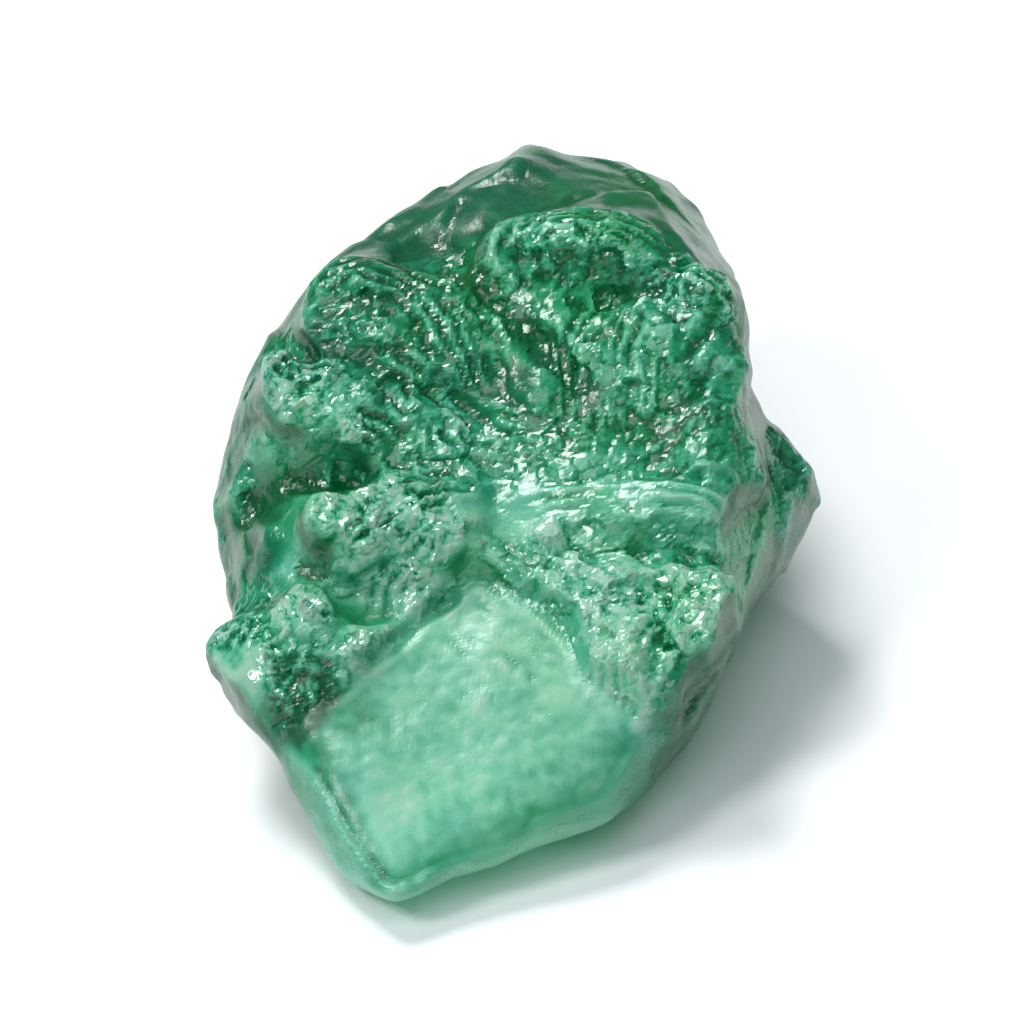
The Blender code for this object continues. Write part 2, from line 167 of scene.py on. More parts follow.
# Striations: what carries them, its middle and half sizes from above, the direction of the
# lines in degrees, the radius they bow at (negative bows the other way), their spacing,
# their height, how far they wander.
# The height is taken STRIATION_GAIN times, because breaks and soft edges lower it. The
# spacing varies by the share UNEVEN_SPACING. The lines wander with the slow noise and, by the
# share QUICK_WANDER, with the quick one.
STRIATIONS = [
    ("upper left lobe", (-2.5, 2.7), (3.0, 1.7), -32, 4.0, 0.42, 0.09, 0.3),
    ("its rough lower half", (-3.6, 0.3), (2.8, 1.2), -22, 6.0, 0.45, 0.12, 0.5),
    ("arcs under the smooth patch", (-0.5, -0.3), (2.0, 0.8), -14, -6.0, 0.4, 0.06, 0.3),
    ("ribs by the groove head", (-0.2, 3.8), (0.8, 1.4), 84, 9.0, 0.5, 0.13, 0.15),
    ("dome on the crest", (1.3, 4.1), (1.1, 1.2), 0, 1.1, 0.36, 0.08, 0.2),
    ("low dome on the crest", (3.1, 4.5), (1.1, 0.8), -10, 1.6, 0.36, 0.06, 0.2),
    ("corner knob", (4.8, 2.9), (1.3, 0.9), -24, 3.0, 0.32, 0.07, 0.4),
    ("ribbed lobe", (2.5, 1.4), (1.9, 1.6), 82, 7.0, 0.38, 0.09, 0.25),
    ("right edge lump", (5.2, 1.3), (1.0, 1.1), 62, 4.0, 0.4, 0.09, 0.3),
    ("belt on the right", (4.8, -0.9), (1.4, 1.2), 10, 5.0, 0.5, 0.06, 0.4),
    ("left crust", (-2.8, -2.6), (2.0, 1.5), 36, 4.0, 0.42, 0.13, 0.35),
    ("cross ridge", (3.1, -2.4), (2.6, 0.6), -3, 20.0, 0.42, 0.07, 0.2),
    ("lobe beside the notch", (1.9, -4.1), (1.9, 0.9), -34, 8.0, 0.5, 0.05, 0.3),
    ("pale lobe right of the face", (2.9, -6.0), (1.0, 1.3), 60, 1.8, 0.42, 0.06, 0.3),
    ("bumps over the rim", (4.1, -7.3), (1.2, 0.9), 45, 5.0, 0.4, 0.08, 0.3),
    ("head of the cleavage face", (-0.4, -5.5), (1.5, 1.5), -40, 20.0, 0.6, 0.02, 0.3),
]
STRIATION_GAIN = 1.5
UNEVEN_SPACING = 0.35
QUICK_WANDER = 0.6

# How pale each place is against its surroundings: what it is, middle and half sizes from
# above, turn in degrees, paleness added, how frosted it is on top of its surroundings, and
# how much it glitters, which means crisper, glossier relief whose ridges and bulges are
# painted pale as glints, with green between them. The paleness added to the glints, the
# glittering knobs, the left crust and the rims and lips of its pits is a painted highlight;
# the paleness taken from pits, creases, notches and the shaded left edge is painted shade.
TONES = [
    # Painted glints on the upper left edge.
    ("glints on the upper left edge", (-5.7, 0.5), (0.9, 1.2), 14, 0.25, -0.1, 1.0),
    ("glints under them", (-4.0, -0.8), (0.7, 0.4), 20, 0.2, -0.1, 1.0),
    # Smooth clear beryl, darker partly as painted shade on the shaded left side.
    ("dark smooth left", (-5.9, -1.8), (1.1, 1.2), 0, -0.35, -0.1, 0.0),
    ("upper left lobe", (-2.8, 2.5), (2.4, 1.4), -25, -0.06, 0.0, 0.2),
    ("ribs by the groove head", (-0.2, 3.8), (0.6, 1.2), 0, 0.25, 0.1, 0.3),
    ("dome on the crest", (1.3, 4.1), (1.0, 1.1), 0, 0.1, 0.0, 0.3),
    ("corner knob", (4.7, 2.8), (1.2, 0.8), -24, 0.15, 0.0, 0.7),
    ("ribbed lobe", (2.6, 1.2), (1.7, 1.5), 0, 0.08, 0.1, 0.1),
    ("dark head of the upper left lobe", (-3.2, 3.3), (1.6, 0.6), -20, -0.2, 0.0, 0.0),
    ("foot of the ribbed lobe", (1.8, -0.4), (1.8, 0.9), 0, -0.18, 0.0, 0.0),
    # Painted shade on the shaded left side.
    ("left edge", (-7.2, -3.2), (1.2, 2.6), 0, -0.4, -0.1, 0.0),
    ("smooth patch", (-0.4, 0.5), (1.1, 0.6), -15, -0.2, 0.0, 0.0),
    ("middle of the front", (-0.3, -2.1), (2.0, 1.2), 0, -0.08, 0.05, 0.0),
    ("belt on the right", (4.8, -1.0), (1.3, 1.3), 0, -0.25, 0.1, 0.0),
    ("cross ridge", (3.1, -2.4), (2.4, 0.5), -3, -0.12, 0.05, 0.0),
    # Painted shade in the crease.
    ("crease under the cross ridge", (4.6, -3.6), (1.8, 0.5), -8, -0.3, 0.0, 0.0),
    # Painted glints on the left crust and on the knob over the pit.
    ("left crust", (-3.1, -2.6), (1.6, 1.2), 34, 0.3, -0.1, 0.9),
    ("knob over the pit", (-4.8, -2.8), (0.6, 0.5), 0, 0.35, -0.1, 0.8),
    # Painted shade in the pit under the knob and the pit in the left crust.
    ("pit under the knob", (-5.1, -3.7), (0.5, 0.5), 0, -0.4, 0.3, 0.0),
    ("pit in the left crust", (-3.8, -4.8), (0.9, 0.42), 0, -0.3, 0.3, 0.0),
    # Painted glints on the rim of the pit.
    ("rim of the pit", (-2.2, -3.7), (0.9, 0.6), 40, 0.4, -0.1, 0.7),
    ("over the head of the V", (-0.7, -2.8), (1.3, 0.5), -10, 0.15, 0.1, 0.0),
    # Painted glints on the lower left knob and on the lip under the pit.
    ("lower left knob", (-5.3, -5.1), (0.7, 0.6), 0, 0.35, -0.1, 1.0),
    ("lip under the pit", (-3.8, -6.0), (0.6, 0.5), 0, 0.15, 0.0, 0.7),
    # Painted shade in the lower pit.
    ("lower pit", (-4.2, -7.2), (0.9, 0.7), 0, -0.3, 0.2, 0.3),
    ("green notch on the left", (-5.5, -6.9), (1.0, 0.8), 20, -0.5, 0.1, 0.5),
    ("pale bump on the left", (-6.9, -5.7), (0.9, 1.2), 10, 0.15, 0.0, 0.8),
    ("lobe beside the notch", (1.9, -4.1), (1.8, 0.9), -34, 0.18, 0.1, 0.4),
    # Painted shade in the notch.
    ("notch beside the cleavage face", (0.7, -4.0), (1.6, 0.35), -40, -0.2, 0.0, 0.0),
    ("pale lobe right of the face", (3.1, -6.0), (1.1, 1.3), 8, 0.3, 0.1, 0.3),
    ("right cluster", (4.5, -5.2), (1.1, 1.2), 0, 0.18, 0.0, 0.8),
    # Painted shade in the crease.
    ("crease under the cluster", (5.0, -6.7), (1.2, 0.5), 20, -0.35, 0.0, 0.0),
    ("palest cloud of the cleavage face", (-0.6, -7.7), (1.2, 1.0), 0, 0.03, 0.0, 0.0),
    ("cloud near the tip", (-3.0, -10.3), (1.3, 1.0), 30, 0.12, 0.0, 0.0),
]

# The edge between the cleavage face and its left bevel, seen from above, and where it is
# rounded off: the reach is in widths.
BEVEL_EDGE = [(-5.4, -7.3), (-4.4, -9.3), (-3.5, -11.1)]
BEVEL_EDGE_WIDTH = 0.5
BEVEL_EDGE_REACH = 1.6

# Bands of another tone along lines of the front: what it is, its line from above, half
# width, paleness added. They end at BAND_REACH half widths from the line. The darker bands
# in the groove, the creases and the seam, and along the edge of the left bevel, are painted
# shade.
BANDS = [
    ("green band over the rim", [(4.5, -7.0), (2.9, -8.1), (-0.8, -9.9), (-2.8, -11.3)], 0.9, -0.22),
    # Painted shade along the shaded left edge.
    ("edge of the left bevel", BEVEL_EDGE, 0.45, -0.5),
    # Painted shade in the groove, the creases and the seam below.
    ("main groove", [(-1.8, 3.9), (-0.6, 2.8), (0.5, 1.8), (2.0, 0.4)], 0.45, -0.4),
    ("crease across the left lobe", [(-5.1, 1.5), (-3.7, 0.9), (-2.5, 0.3)], 0.3, -0.25),
    ("crease under the left lobe", [(-6.7, -0.9), (-3.9, -1.3), (-1.7, -1.5)], 0.5, -0.25),
    ("seam left of the cluster", [(2.8, -4.8), (3.7, -5.3), (3.8, -6.6)], 0.35, -0.3),
]
BAND_REACH = 1.2

# The smooth noises over the stone: lumps a millimetre, and the lane that keeps each apart.
NOISES = {
    "slow wander": (0.55, 1),
    "quick wander": (1.4, 2),
    "breaks in the striations": (1.1, 3),
    "bends of the rings": (0.35, 4),
    "places of the rings": (0.4, 5),
    "waves": (0.8, 6),
    "small waves": (2.6, 7),
    "frosting grains": (3.0, 8),
    "frosting lumps": (1.2, 9),
    "places of the frosting net": (0.8, 10),
    "clouds": (0.7, 12),
    "small clouds": (1.7, 13),
    "spacing of the striations": (0.9, 14),
    "wide crinkles": (1.25, 15),
    "fine clouds": (3.2, 16),
    "fine crinkles": (2.4, 17),
    "places of the crinkles": (0.9, 18),
    "start of the rim": (0.6, 19),
}
LANE_SHIFT = 23.7

# Keeps a length from being divided by 0.
TINY = 1e-9

# Shell-like rings on the broken faces behind: where they spread from, their spacing, their
# height and how far they bend. Waves lie between them.
RING_HUB = (2.0, 9.5, 8.5)
RING_SPACING = 1.4
RING_HEIGHT = 0.035
RING_BEND = 0.8
WAVE_HEIGHT = 0.05
SMALL_WAVE_HEIGHT = 0.015

# The net of fine lines on the cleavage face: the size of its cells, how far they bend and in
# how many lumps a millimetre, how wide its lines are against a cell, their depth, the value
# of the net that stays at the face's level, the share that is too faint to need it, and the
# seed of the bends.
NET_SPACING = 0.5
NET_BEND = 0.35
NET_BEND_SCALE = 1.3
NET_LINE = 0.6
NET_DEPTH = 0.006
NET_LEVEL = 0.7
FAINT = 0.01
NET_SEED = 5

# How high the frosting's lumps and grains are.
FROST_LUMP_HEIGHT = 0.03
FROST_GRAIN_HEIGHT = 0.015

# The crinkles of the crust: how wide the wide and the fine ones are, in their noise, how
# much each counts, their height, how far the skin sinks between them, their usual height as
# a share, and what is left of them where nothing glitters.
WIDE_CRINKLE_WIDTH = 0.22
FINE_CRINKLE_WIDTH = 0.3
WIDE_CRINKLE_SHARE = 0.65
FINE_CRINKLE_SHARE = 0.5
CRINKLE_HEIGHT = 0.13
CRINKLE_SINK = 0.03
USUAL_CRINKLE = 0.25
QUIET_CRINKLES = 0.12

# How crisply the crust is broken where nothing glitters, as a share of where all does.
QUIET_CRISPNESS = 0.3

# Paleness, from 0 for clear deep green to 1 for milky: what each thing adds. Some of it is
# painted light: highlights and glints on ridges and bulges, shade in hollows, and a glow at
# the thin end.
PALENESS = {
    "everywhere": 0.02,
    "front": 0.2,
    # Paler towards the tip: milky crust, and partly a painted glow of light through thinner stone.
    "front towards the tip, milky and with painted glow": 0.48,
    "cleavage face": 0.07,
    # Milky, and a painted glow where light would shine through the thin end.
    "flank of the thin end, milky with painted glow": 0.5,
    "thin end beside its face, milky with painted glow": 0.2,
    # Painted highlights on the ridges.
    "ridges": 0.35,
    # Painted glints on the ridges where the crust glitters.
    "painted glints on glittering ridges": 0.9,
    "lines of the net": -0.06,
    # Painted highlights on small bulges and painted shade in small hollows.
    "small bulges": 0.15,
    # Painted glints on the bulges where the crust glitters.
    "painted glints on glittering bulges": 0.25,
    # Painted highlights on broad bulges and painted shade in broad hollows.
    "painted light and shade on broad bulges": 0.2,
    "clouds": 0.16,
    "fine clouds": 0.2,
}
SMALL_CLOUD_SHARE = 0.5

# Frost, from 0 for glossy to 1 for matt: what each thing adds.
FROST = {
    "everywhere": 0.45,
    "front": -0.2,
    "cleavage face": 0.35,
    "glitter": -0.2,
    "small bulges": 0.1,
}

# The front grows paler, milky and partly as a painted glow, from this far along Y towards the
# tip, over this length.
PALER_FROM = 2.0
PALER_LENGTH = 5.5

# A point starts to count as flank where its normal rises less than FLANK_START, and counts
# fully at FLANK_RISE less. The rim of the flank, milky and painted pale as a glow where
# light would shine through the thin end, comes in over RIM_LENGTH past the ledge, from a
# line that wanders by RIM_WANDER.
FLANK_START = 0.2
FLANK_RISE = 0.4
RIM_LENGTH = 2.4
RIM_WANDER = 0.6

# Bulges that are paler, as painted highlights, and hollows that are darker, as painted
# shade: the rounds of easing that tell how far a point stands out, and the height that
# counts fully. The last values are how much small tones and broad bulges count off the front.
SMALL_BULGE_EASING = 4
SMALL_BULGE = 0.02
BROAD_BULGE_EASING = 30
BROAD_BULGE = 0.12
SMALL_TONES_BEHIND = 0.2
BROAD_BULGES_BEHIND = 0.4

# The beryl's colours from clear to milky.
BERYL_COLOURS = [
    (0.0, (0.002, 0.17, 0.055)),
    (0.3, (0.02, 0.47, 0.21)),
    (0.6, (0.16, 0.74, 0.47)),
    (0.8, (0.32, 0.94, 0.60)),
    (1.0, (0.57, 1.0, 0.75)),
]

# The beryl's way with light: its index of refraction, the share that goes in, and what it
# absorbs on the way, with the density in 1/m.
BERYL_IOR = 1.58
BERYL_TRANSMISSION = 0.6
ABSORPTION_DENSITY = 220.0
ABSORPTION_COLOUR = (0.0, 0.72, 0.42, 1.0)

# The beryl's finest structure, each in pieces a metre.
SPECKS = 5200
HAIRLINES = 1900
TINTS = 350
SMALL_FACES = 2600
GRAINS = 7000

# How much specks and hairlines change the tone and tints the hue, and the hairlines' width
# in their noise.
SPECK_CONTRAST = 0.2
HAIRLINE_CONTRAST = 0.55
HAIRLINE_WIDTH = 0.05
TINT_CONTRAST = 0.08

# Roughness of clean beryl, and what full frost and the specks add.
CLEAN_ROUGHNESS = 0.07
FROST_ROUGHNESS = 0.45
SPECK_ROUGHNESS = 0.2

# How steeply the small faces are turned, and the height of the grains in metres.
SMALL_FACE_TURN = 0.9
GRAIN_BUMP = 0.000009

# The floor: half its side and how far it lies under the stone, in metres, its clouds, in
# lumps a metre, and its tones.
FLOOR_HALF_SIDE = 1.5
FLOOR_GAP = 0.00002
FLOOR_CLOUDS = 90
FLOOR_TONES = [(0.3, (0.86, 0.87, 0.88)), (0.7, (0.9, 0.9, 0.91))]
FLOOR_ROUGHNESS = 0.55

# The colours of the light from all round and of the light in front.
SKY_COLOUR = (0.78, 0.91, 1.0, 1.0)
FRONT_COLOUR = (0.9, 0.97, 1.0)

# What the camera and the lights aim at, in metres: the stone's middle, a little lowered.
LOWERED_TO = 0.86
low_corner, high_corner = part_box(NODE)
AIM = (low_corner + high_corner) / 2
AIM.z *= LOWERED_TO


def smooth_step(value):
    """0 below 0, 1 above 1, and an even rise between."""
    t = np.clip(value, 0.0, 1.0)
    return t * t * (3.0 - 2.0 * t)


def at_least(share, least):
    """The share, raised evenly so that it starts at this least value and still ends at 1."""
    return least + (1.0 - least) * share


def noise_at(points, name):
    """One of the smooth noises, about -1 to 1, at each point."""
    scale, lane = NOISES[name]
    shift = Vector((0.0, 0.0, LANE_SHIFT * lane))
    return np.array([noise.noise(Vector(p) * scale + shift) for p in points])


def patches(points, name, cover, contrast):
    """1 in patches of the skin, 0 between them. More cover makes them wider."""
    return smooth_step(cover + contrast * noise_at(points, name))


def wandering_lines(points, name, width):
    """1 on the lines where a noise passes through 0, and less beside them."""
    return np.clip(1.0 - np.abs(noise_at(points, name)) / width, 0.0, 1.0)


def line_distance(xy, line):
    """How far each point is from a line of straight pieces, seen from above."""
    nearest = np.full(len(xy), np.inf)
    for start, end in zip(line[:-1], line[1:]):
        a = np.array(start)
        along = np.array(end) - a
        t = np.clip((xy - a) @ along / (along @ along), 0.0, 1.0)
        away = np.linalg.norm(xy - a - t[:, None] * along, axis=1)
        nearest = np.minimum(nearest, away)
    return nearest


def near_line(xy, line, width, reach):
    """1 along a line, 0 from this many widths away from it."""
    return smooth_step(reach - line_distance(xy, line) / width)


def turned(xy, middle, degrees):
    """Each point's place along and across a direction through the middle."""
    a = math.radians(degrees)
    off = xy - np.array(middle)
    along = off @ np.array((math.cos(a), math.sin(a)))
    across = off @ np.array((-math.sin(a), math.cos(a)))
    return along, across


def inside(xy, middle, half_sizes, degrees, edge):
    """1 inside a turned oval, 0 outside, with a soft edge of this share of its size."""
    along, across = turned(xy, middle, degrees)
    out = np.hypot(along / half_sizes[0], across / half_sizes[1])
    return smooth_step((1.0 + edge / 2 - out) / edge)


def front_share(normals):
    """1 where the skin looks the way the front slope does, 0 on the flanks and back."""
    forward = normals @ np.array(SLOPE_NORMAL)
    return smooth_step((forward - FRONT_START) / FRONT_RISE)


def in_front_of(xy, line):
    """Distance past a line that crosses the stone, positive on the tip's side of it."""
    xs, ys = np.array(line).T
    side = np.where(xy[:, 1] < np.interp(xy[:, 0], xs, ys), 1.0, -1.0)
    return side * line_distance(xy, line)


class Skin:
    """The fine skin: its mesh, its edges, and its points and normals in millimetres."""

    def __init__(self, mesh):
        self.mesh = mesh
        count = len(mesh.vertices)
        flat = np.empty(count * 3)
        mesh.vertices.foreach_get("co", flat)
        self.points = flat.reshape(count, 3) / MM
        pairs = np.empty(len(mesh.edges) * 2, dtype=int)
        mesh.edges.foreach_get("vertices", pairs)
        self.pairs = pairs.reshape(-1, 2)
        self.links = np.bincount(pairs, minlength=count)[:, None]
        self.put(self.points)

    def put(self, points):
        """Moves the points and works out the normals again."""
        self.points = points
        self.mesh.vertices.foreach_set("co", (points * MM).ravel())
        self.mesh.update()
        flat = np.empty(len(points) * 3, dtype=np.float32)
        self.mesh.vertex_normals.foreach_get("vector", flat)
        self.normals = flat.reshape(-1, 3).astype(float)

    def eased(self, values, steps):
        """Values per point, averaged with their neighbours this many times."""
        a, b = self.pairs.T
        for _ in range(steps):
            total = np.zeros_like(values)
            np.add.at(total, a, values[b])
            np.add.at(total, b, values[a])
            values = 0.5 * values + 0.5 * total / self.links
        return values

    def spread(self, share, steps):
        """A share per point, eased in the same way."""
        return self.eased(share[:, None], steps)[:, 0]

    def bulge(self, steps):
        """How far each point stands out from its eased surroundings, in millimetres."""
        off = self.points - self.eased(self.points, steps)
        return np.sum(off * self.normals, axis=1)

    def note(self, name, values):
        """Keeps one number per point, for the material to read."""
        layer = self.mesh.attributes.new(name, "FLOAT", "POINT")
        layer.data.foreach_set("value", values.astype(np.float32))


def fine_skin():
    """A finely meshed copy of the solid's skin."""
    bm = bmesh.new()
    bm.from_mesh(frame["nodes"][NODE].data)
    bmesh.ops.remove_doubles(bm, verts=bm.verts[:], dist=WELD)
    mesh = bpy.data.meshes.new("skin")
    bm.to_mesh(mesh)
    bm.free()
    obj = bpy.data.objects.new("skin", mesh)
    bpy.context.scene.collection.objects.link(obj)
    finer = obj.modifiers.new("finer", "REMESH")
    finer.mode = "VOXEL"
    finer.voxel_size = SKIN_GRAIN * MM
    bpy.context.view_layer.update()
    graph = bpy.context.evaluated_depsgraph_get()
    fine = bpy.data.meshes.new_from_object(obj.evaluated_get(graph))
    bpy.data.objects.remove(obj)
    return Skin(fine)


def nearest_of(points, chosen):
    """The number of the chosen point that is nearest to each point."""
    tree = kdtree.KDTree(len(chosen))
    for i, place in enumerate(chosen):
        tree.insert(Vector(place), i)
    tree.balance()
    return np.array([tree.find(Vector(place))[1] for place in points])


def chip(skin, share, chips):
    """Flattens patches of the skin, each to a slightly turned face of its own."""
    points, normals = skin.points, skin.normals
    random = np.random.default_rng(chips["seed"])
    mixed = random.permutation(len(points))
    cubes = np.floor(points[mixed] / chips["size"])
    _, first = np.unique(cubes, axis=0, return_index=True)
    owner = nearest_of(points, points[mixed[first]])
    count = len(first)
    members = np.maximum(np.bincount(owner, minlength=count), 1)[:, None]
    middle = np.zeros((count, 3))
    facing = np.zeros((count, 3))
    np.add.at(middle, owner, points)
    np.add.at(facing, owner, normals)
    middle /= members
    facing /= np.linalg.norm(facing, axis=1)[:, None] + TINY
    facing += random.normal(0.0, chips["turn"], (count, 3))
    facing /= np.linalg.norm(facing, axis=1)[:, None]
    off = np.sum((points - middle[owner]) * facing[owner], axis=1)
    agree = np.sum(normals * facing[owner], axis=1)
    move = np.clip(-off, -chips["depth"], chips["depth"]) * share * chips["share"]
    move *= smooth_step((agree - CHIP_START) / CHIP_RISE)
    skin.put(points + facing[owner] * move[:, None])


def striate(skin, front):
    """Cuts fine wandering ridges into the places that have them, and tells where they are."""
    points = skin.points
    xy = points[:, :2]
    wanders = noise_at(points, "slow wander") + QUICK_WANDER * noise_at(points, "quick wander")
    uneven = 1.0 + UNEVEN_SPACING * noise_at(points, "spacing of the striations")
    broken = patches(points, "breaks in the striations", cover=0.45, contrast=1.3)
    move = np.zeros(len(points))
    ridges = np.zeros(len(points))
    for _, middle, half_sizes, degrees, radius, spacing, height, wander in STRIATIONS:
        share = front**3 * inside(xy, middle, half_sizes, degrees, RELIEF_EDGE)
        along, across = turned(xy, middle, degrees)
        course = across + along**2 / (2 * radius) + wander * wanders
        turn = (course * uneven / spacing) % 1.0
        ridge = 1.0 - np.abs(2.0 * turn - 1.0)
        move += share * broken * STRIATION_GAIN * height * (ridge - 0.5)
        ridges += share * broken * (ridge - 0.5)
    skin.put(points + skin.normals * move[:, None])
    return ridges


def ripple(skin, share):
    """Shell-like ripples and a little waviness on the broken faces behind."""
    points = skin.points
    away = np.linalg.norm(points - np.array(RING_HUB), axis=1)
    reach = away + RING_BEND * noise_at(points, "bends of the rings")
    rings = np.sin(reach * 2 * math.pi / RING_SPACING)
    rings *= patches(points, "places of the rings", cover=0.4, contrast=1.0)
    wave = RING_HEIGHT * rings + WAVE_HEIGHT * noise_at(points, "waves")
    wave += SMALL_WAVE_HEIGHT * noise_at(points, "small waves")
    skin.put(points + skin.normals * (share * wave)[:, None])


def soften(skin, share, steps):
    """Rounds the skin off, by this share of what so many easing steps would do."""
    eased = skin.eased(skin.points, steps)
    skin.put(skin.points + (eased - skin.points) * share[:, None])


def cells(points, share):
    """How far inside a cell of a random wavy net each point lies: 0 on the net's lines."""
    noise.seed_set(NET_SEED)
    depth = np.zeros(len(points))
    for i in np.nonzero(share > FAINT)[0]:
        place = Vector(points[i])
        bent = place + NET_BEND * noise.noise_vector(place * NET_BEND_SCALE)
        near, _ = noise.voronoi(bent / NET_SPACING)
        depth[i] = near[1] - near[0]
    return smooth_step(depth / NET_LINE)


def frosting(skin, share, net):
    """Shallow lumps, grains and a net of fine lines on the cleavage face."""
    points = skin.points
    relief = FROST_LUMP_HEIGHT * noise_at(points, "frosting lumps")
    relief += FROST_GRAIN_HEIGHT * noise_at(points, "frosting grains")
    patchy = patches(points, "places of the frosting net", cover=0.5, contrast=1.0)
    relief += NET_DEPTH * patchy * (net - NET_LEVEL)
    skin.put(points + skin.normals * (share * relief)[:, None])


def keep_resting(skin, low, underside):
    """Puts the points of the underside back on the plane that the stone rests on."""
    points = skin.points.copy()
    points[:, 2] += (low - points[:, 2]) * underside
    points[:, 2] = np.maximum(points[:, 2], low)
    skin.put(points)


def glitter(skin, front):
    """How much each point glitters: crisper, glossier relief with painted glints on its ridges."""
    xy = skin.points[:, :2]
    share = np.zeros(len(xy))
    for _, middle, half_sizes, degrees, _, _, glittering in TONES:
        share += glittering * front * inside(xy, middle, half_sizes, degrees, TONE_EDGE)
    return np.clip(share, 0.0, 1.0)


def crinkle(skin, share):
    """Raises a broken net of fine wandering ridges, and tells where they are."""
    points = skin.points
    wide = wandering_lines(points, "wide crinkles", WIDE_CRINKLE_WIDTH)
    fine = wandering_lines(points, "fine crinkles", FINE_CRINKLE_WIDTH)
    patchy = patches(points, "places of the crinkles", cover=0.55, contrast=1.6)
    net = patchy * (WIDE_CRINKLE_SHARE * wide + FINE_CRINKLE_SHARE * fine)
    skin.put(points + skin.normals * (share * (CRINKLE_HEIGHT * net - CRINKLE_SINK))[:, None])
    return share * (net - USUAL_CRINKLE)


def pale_by_place(skin, front, face, thin):
    """Paleness that follows the stone's large places; at the tip and thin end partly a painted glow.
    """
    xy = skin.points[:, :2]
    flank = smooth_step((FLANK_START - skin.normals[:, 2]) / FLANK_RISE)
    past_ledge = in_front_of(xy, LEDGE) + RIM_WANDER * noise_at(skin.points, "start of the rim")
    rim = thin + (smooth_step(past_ledge / RIM_LENGTH) - thin) * flank
    towards_tip = smooth_step((PALER_FROM - xy[:, 1]) / PALER_LENGTH)
    front_tone = PALENESS["front"] + PALENESS["front towards the tip, milky and with painted glow"] * towards_tip
    pale = PALENESS["everywhere"] + front_tone * front
    pale += PALENESS["cleavage face"] * face
    pale += PALENESS["flank of the thin end, milky with painted glow"] * rim * flank
    pale += PALENESS["thin end beside its face, milky with painted glow"] * rim * (1.0 - face)
    return pale


def pale_by_relief(front, face, net, ridges, sparkle, small, broad):
    """Painted highlights on ridges and bulges, glints where they glitter, painted shade in hollows.
    """
    painted_ridge_light = PALENESS["ridges"] + PALENESS["painted glints on glittering ridges"] * sparkle
    painted_bulge_light = PALENESS["small bulges"] + PALENESS["painted glints on glittering bulges"] * sparkle
    pale = painted_ridge_light * ridges
    pale += PALENESS["lines of the net"] * face * (1.0 - net)
    pale += painted_bulge_light * small * at_least(front, SMALL_TONES_BEHIND)
    pale += PALENESS["painted light and shade on broad bulges"] * broad * at_least(front, BROAD_BULGES_BEHIND)
    return pale


def pale_clouds(points, front, face):
    """Milky clouds, and finer ones on the cleavage face."""
    clouds = noise_at(points, "clouds") + SMALL_CLOUD_SHARE * noise_at(points, "small clouds")
    pale = PALENESS["clouds"] * clouds * at_least(front, SMALL_TONES_BEHIND)
    pale += PALENESS["fine clouds"] * face * noise_at(points, "fine clouds")
    return pale


def tones(skin, front, face, thin, net, ridges, sparkle, crisp):
    """Works out each point's paleness, painted light and shade included, frost and crispness."""
    xy = skin.points[:, :2]
    small = np.clip(skin.bulge(SMALL_BULGE_EASING) / SMALL_BULGE, -1.0, 1.0)
    broad = np.clip(skin.bulge(BROAD_BULGE_EASING) / BROAD_BULGE, -1.0, 1.0)
    pale = pale_by_place(skin, front, face, thin)
    pale += pale_by_relief(front, face, net, ridges, sparkle, small, broad)
    pale += pale_clouds(skin.points, front, face)
    frost = FROST["everywhere"] + FROST["front"] * front + FROST["cleavage face"] * face
    frost += FROST["glitter"] * sparkle + FROST["small bulges"] * small
    for _, middle, half_sizes, degrees, paler, frosted, _ in TONES:
        share = front * inside(xy, middle, half_sizes, degrees, TONE_EDGE)
        pale += paler * share
        frost += frosted * share
    for _, line, half_width, paler in BANDS:
        pale += paler * front * near_line(xy, line, half_width, BAND_REACH)
    # The paleness kept here holds painted highlights, glints, glow and shade besides milkiness.
    skin.note("pale", np.clip(pale, 0.0, 1.0))
    skin.note("frost", np.clip(frost, 0.0, 1.0))
    skin.note("crisp", crisp)


def rough_crust(xy, front, thin):
    """Where the front is crust that broke roughly."""
    rough = front * (1.0 - thin)
    for _, middle, half_sizes, degrees in SMOOTH_PLACES:
        rough *= 1.0 - SMOOTHNESS * inside(xy, middle, half_sizes, degrees, RELIEF_EDGE)
    return rough


